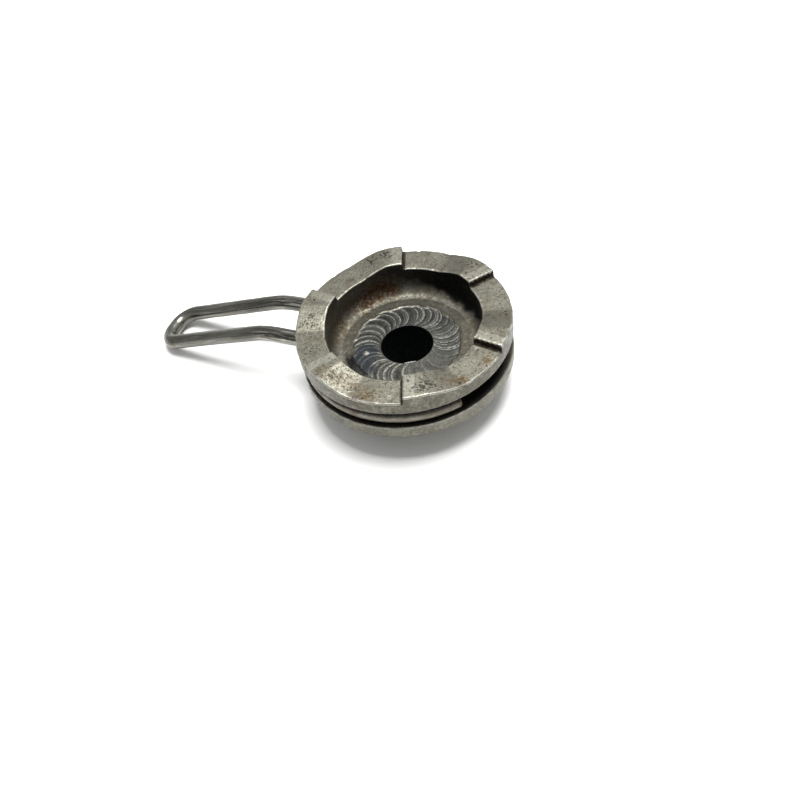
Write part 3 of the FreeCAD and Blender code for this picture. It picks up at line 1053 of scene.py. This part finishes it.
def end_taper(along, bevel):
    """Return how much thinner the wire is near each end, where its cut edge is rounded."""
    to_end = np.minimum(along, along[-1] - along)
    inside = np.clip(1 - to_end / bevel, 0, 1)
    return 0.12 * (1 - np.sqrt(1 - inside ** 2))


def cap_rows(centre, circle, radius):
    """Return the rings that close one end of the wire."""
    return np.array([centre + circle * radius * share for share in (0.85, 0.5, 0.12)])


def wire_mesh(s):
    """Return the wire's closed mesh, with its attributes."""
    skin, along, around = wire_points(s)
    mesh = grid_mesh("drag_clip", skin, closed_rows=False)
    rows, columns = skin.shape[:2]
    total = rows * columns
    ends = [list(range(columns)), list(range(total - columns, total))]
    data = bpy.data.meshes.new("drag_clip")
    faces = [list(p.vertices) for p in mesh.polygons]
    faces += [ends[0][::-1], ends[1]]
    data.from_pydata([tuple(v.co) for v in mesh.vertices], [], faces)
    bpy.data.meshes.remove(mesh)
    data.shade_smooth()
    place = np.stack([np.cos(around)[None] + 0 * along[:, None],
                      np.sin(around)[None] + 0 * along[:, None],
                      along[:, None] + 0 * around[None]], axis=-1)
    layer = data.attributes.new("lay", "FLOAT_VECTOR", "POINT")
    layer.data.foreach_set("vector", place.astype(np.float32).ravel())
    arm = smooth(skin[..., 0], -27 * MM, -20 * MM)
    end_rust = smooth(np.minimum(along, along[-1] - along), 1.2 * MM, 0.0)[:, None]
    spots = smooth(ripple(skin, 4 * MM, 51), 0.2, 0.8)
    # Painted dark reflection down the flank of each leg that faces the camera, strongest near
    # the ring.
    reflection_band = painted_reflection_flank(skin, around) * (1 - arm)
    bent = smooth(skin[..., 0], -48 * MM, -34 * MM) * (1 - arm)
    add_attribute(data, "dark_reflection", np.clip(reflection_band * (0.45 + 0.55 * bent), 0, 1))
    # Painted highlight specks on the legs near the ring.
    add_attribute(data, "glint_specks", np.clip(bent * smooth(skin[..., 0], -40 * MM, -33 * MM), 0, 1))
    add_attribute(data, "rust", np.clip(0.45 * arm + 0.5 * arm * spots + end_rust, 0, 1))
    # Painted shade on each arm's top under the ring's overhang and on its underside against the
    # flange, and a few oil spots on the tail.
    above = smooth(skin[..., 2] - s.level, 0.15 * s.wire_radius, 0.75 * s.wire_radius)
    below = smooth(skin[..., 2] - s.level, -0.45 * s.wire_radius, -0.8 * s.wire_radius)
    add_attribute(data, "oil_and_shade", np.clip(arm * (above + below) + 0.2 * (1 - arm) * spots, 0, 1))
    return data


def painted_reflection_flank(skin, around):
    """Return 1 along the flank of each leg turned towards the camera, where a dark reflection is
    painted, 0 elsewhere.
    """
    side = np.sign(skin[..., 1])
    off = angle_gap(around[None, :], -0.8 * side)
    return np.exp(-(off / 0.5) ** 2) * smooth(np.abs(skin[..., 1]), 2.0 * MM, 5.0 * MM)


def wire_material(colours):
    """Return the clip's finish: glossy drawn wire with long streaks, oil, painted shade on the
    arms, a painted dark reflection and painted highlight specks on the legs, and some rust.
    """
    n = Nodes("clip_wire_steel")
    place = n.place()
    lay = n.add("ShaderNodeAttribute", attribute_name="lay").outputs["Vector"]
    split = n.add("ShaderNodeSeparateXYZ")
    n.feed(split.inputs[0], lay)
    long_place = n.vector(split.outputs[0], split.outputs[1],
                          n.math("MULTIPLY", split.outputs[2], 26.0))
    streaks = n.noise(long_place, 0.5, 4, 0.65)
    fine = n.noise(long_place, 0.15, 3, 0.6)
    mottle = n.noise(place, 0.9 * MM, 4, 0.65)
    patches = n.noise(place, 5.0 * MM, 3, 0.5, 0.3)
    colour = n.mix(n.ramp(streaks, 0.36, 0.64), WIRE_DARK, colours.wire)
    colour = n.mix(n.ramp(fine, 0.58, 0.68, 0.0, 0.6), colour, WIRE_STREAK)
    colour = n.mix(n.ramp(patches, 0.52, 0.7, 0.0, 0.45), colour, WIRE_PATCH)
    # Painted dark reflection down the legs' flanks.
    dark = n.math("MULTIPLY", n.attribute("dark_reflection"), n.ramp(streaks, 0.35, 0.65, 1.0, 0.85))
    colour = n.mix(dark, colour, WIRE_DARK_REFLECTION)
    # Painted highlight specks near the ring.
    glint_speck = n.math("MULTIPLY", n.attribute("glint_specks"), n.ramp(fine, 0.50, 0.60, 0.0, 0.8))
    colour = n.mix(glint_speck, colour, WIRE_GLINT)
    rust = n.math("MULTIPLY", n.attribute("rust"), n.ramp(mottle, 0.35, 0.6, 0.4, 1.1))
    rust = n.math("MINIMUM", rust, 1.0)
    colour = n.mix(rust, colour, WIRE_RUST)
    # Old oil spots, and painted shade on the arms.
    oil_and_shade = n.math("MULTIPLY", n.attribute("oil_and_shade"), n.ramp(mottle, 0.4, 0.65, 0.8, 1.0))
    colour = n.mix(oil_and_shade, colour, colours.oil_and_shade)
    n.feed(n.shader.inputs["Base Color"], colour)
    n.shader.inputs["Metallic"].default_value = METALLIC
    rough = n.ramp(streaks, 0.3, 0.7, 0.17, 0.3)
    n.feed(n.shader.inputs["Roughness"], n.math("ADD", rough, n.math("MULTIPLY", rust, 0.3)))
    normal = n.bump(fine, 0.008 * MM)
    normal = n.bump(mottle, 0.02 * MM, normal)
    n.feed(n.shader.inputs["Normal"], normal)
    return n.material


# ---------------------------------------------------------------- operators

class OBJECT_OT_ratchet_dog(bpy.types.Operator):
    """Build the dog: one closed skin with milled floor, ramps, worn edges and finishes"""

    bl_idname = "object.ratchet_dog"
    bl_label = "Ratchet dog"

    def execute(self, context):
        sizes = context.scene.dog_sizes
        points, radius, height, angle, region = dog_points(sizes)
        points = roughen_dog(sizes, points, radius, height, angle, region)
        mesh = grid_mesh("ratchet_dog", points, closed_rows=True)
        dog_attributes(sizes, mesh, points, radius, height, angle, region)
        for material in dog_materials(context.scene.finishes):
            mesh.materials.append(material)
        slots = np.repeat(region, points.shape[1]).astype(np.int32)
        mesh.polygons.foreach_set("material_index", slots)
        dog = link(bpy.data.objects.new("ratchet_dog", mesh))
        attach(dog, "dog")
        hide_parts("ratchet_body")
        return {"FINISHED"}


class OBJECT_OT_drag_clip(bpy.types.Operator):
    """Build the clip: one wire round the groove, bent into the tail's loop"""

    bl_idname = "object.drag_clip"
    bl_label = "Drag clip"

    def execute(self, context):
        mesh = wire_mesh(context.scene.clip_sizes)
        mesh.materials.append(wire_material(context.scene.finishes))
        clip = link(bpy.data.objects.new("drag_clip", mesh))
        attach(clip, "clip")
        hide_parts("friction_clip")
        return {"FINISHED"}


class SCENE_OT_dog_stage(bpy.types.Operator):
    """Set the table, the even white surroundings, the soft lamp and the camera"""

    bl_idname = "scene.dog_stage"
    bl_label = "Stage"

    def execute(self, context):
        stage = context.scene.stage_settings
        place_table(context.scene.finishes)
        light_studio(context.scene, stage)
        place_camera(context.scene, stage)
        context.scene.view_settings.view_transform = "Standard"
        return {"FINISHED"}


def place_table(colours):
    """Lay a plain pale table at the hub's foot."""
    half = TABLE_HALF
    corners = [(-half, -half, 0), (half, -half, 0), (half, half, 0), (-half, half, 0)]
    mesh = bpy.data.meshes.new("table")
    mesh.from_pydata(corners, [], [(0, 1, 2, 3)])
    n = Nodes("table_top")
    shade = n.noise(n.place(), 60 * MM, 3, 0.5)
    tint = tuple(c * 0.985 for c in colours.table)
    n.feed(n.shader.inputs["Base Color"], n.mix(n.ramp(shade, 0.3, 0.7), colours.table, tint))
    n.shader.inputs["Roughness"].default_value = 0.5
    mesh.materials.append(n.material)
    link(bpy.data.objects.new("table", mesh))


def light_studio(scene, stage):
    """Light the part from an even white sky and one large soft lamp overhead."""
    world = bpy.data.worlds.new("even_sky")
    world.use_nodes = True
    background = world.node_tree.nodes["Background"]
    background.inputs["Color"].default_value = (1.0, 1.0, 1.0, 1.0)
    background.inputs["Strength"].default_value = stage.sky
    scene.world = world
    lamp = bpy.data.lights.new("soft_lamp", "AREA")
    lamp.shape = "DISK"
    lamp.size = stage.lamp_size
    lamp.energy = stage.lamp_power
    lamp_object = link(bpy.data.objects.new("soft_lamp", lamp))
    lamp_object.location = stage.lamp_place
    aim(lamp_object, Vector((0, 0, 0.01)), 0.0)


def aim(thing, target, roll):
    """Point a lamp or camera at a target, turned about its line of sight."""
    look = (target - thing.location).to_track_quat("-Z", "Y")
    thing.rotation_mode = "QUATERNION"
    thing.rotation_quaternion = look @ Matrix.Rotation(roll, 3, "Z").to_quaternion()


def place_camera(scene, stage):
    camera = bpy.data.cameras.new("camera")
    camera.lens = stage.lens
    camera.sensor_width = 36
    camera.clip_start = 0.01
    camera_object = link(bpy.data.objects.new("camera", camera))
    camera_object.location = stage.camera_place
    aim(camera_object, Vector(stage.camera_target), stage.camera_roll)
    scene.camera = camera_object


class VIEW3D_PT_ratchet_dog(bpy.types.Panel):
    """Buttons for the dog, its clip and the stage"""

    bl_idname = "VIEW3D_PT_ratchet_dog"
    bl_label = "Ratchet Dog"
    bl_space_type = "VIEW_3D"
    bl_region_type = "UI"
    bl_category = "Ratchet Dog"

    def draw(self, context):
        scene = context.scene
        groups = (scene.dog_sizes, scene.clip_sizes, scene.finishes, scene.stage_settings)
        for operator in (OBJECT_OT_ratchet_dog, OBJECT_OT_drag_clip, SCENE_OT_dog_stage):
            self.layout.operator(operator.bl_idname)
        for group in groups:
            box = self.layout.box()
            for name in group.bl_rna.properties.keys():
                if name not in ("rna_type", "name"):
                    box.prop(group, name)


CLASSES = (
    DogSizes,
    ClipSizes,
    Finishes,
    StageSettings,
    OBJECT_OT_ratchet_dog,
    OBJECT_OT_drag_clip,
    SCENE_OT_dog_stage,
    VIEW3D_PT_ratchet_dog,
)


def register():
    for item in CLASSES:
        bpy.utils.register_class(item)
    bpy.types.Scene.dog_sizes = PointerProperty(type=DogSizes)
    bpy.types.Scene.clip_sizes = PointerProperty(type=ClipSizes)
    bpy.types.Scene.finishes = PointerProperty(type=Finishes)
    bpy.types.Scene.stage_settings = PointerProperty(type=StageSettings)


def unregister():
    del bpy.types.Scene.stage_settings
    del bpy.types.Scene.finishes
    del bpy.types.Scene.clip_sizes
    del bpy.types.Scene.dog_sizes
    for item in reversed(CLASSES):
        bpy.utils.unregister_class(item)


def main():
    register()
    bpy.ops.object.ratchet_dog()
    bpy.ops.object.drag_clip()
    bpy.ops.scene.dog_stage()


if __name__ == "__main__":
    main()
